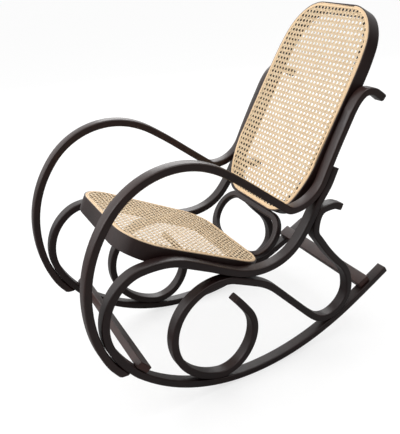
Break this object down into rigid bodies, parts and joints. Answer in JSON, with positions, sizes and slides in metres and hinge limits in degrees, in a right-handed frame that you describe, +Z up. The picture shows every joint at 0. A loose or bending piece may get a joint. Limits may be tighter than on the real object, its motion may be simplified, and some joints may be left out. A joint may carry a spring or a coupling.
{
  "type": "bentwood rocking chair",
  "caption": "Bentwood rocking chair with looping arms, scrolled side frames on curved rockers, and a caned seat and tall caned back in bent hoops.",
  "frame": {"origin": "middle of the chair's base: centre of the bounding box in X and Y, floor level in Z", "axes": "+Z up, the seat's front faces -Y, +X is the sitter's left; the rockers meet the floor near y = -0.01"},
  "size_m": [0.5094, 0.9557, 0.9309],
  "materials": {
    "lacquered_wood": "satin",
    "reed": "satin",
    "cane": "semi-gloss"
  },
  "bodies": {
    "root": {"arm_left": "lacquered_wood", "arm_right": "lacquered_wood", "rocker_rail_left": "lacquered_wood", "rocker_rail_right": "lacquered_wood", "scroll_left": "lacquered_wood", "scroll_right": "lacquered_wood", "seat_hoop": "lacquered_wood", "back_hoop": "lacquered_wood", "brace_hoop": "lacquered_wood", "front_stretcher": "lacquered_wood", "rear_stretcher": "lacquered_wood", "seat_reed": "reed", "back_reed": "reed", "seat_cane": "cane", "back_cane": "cane"}
  },
  "joints": []
}
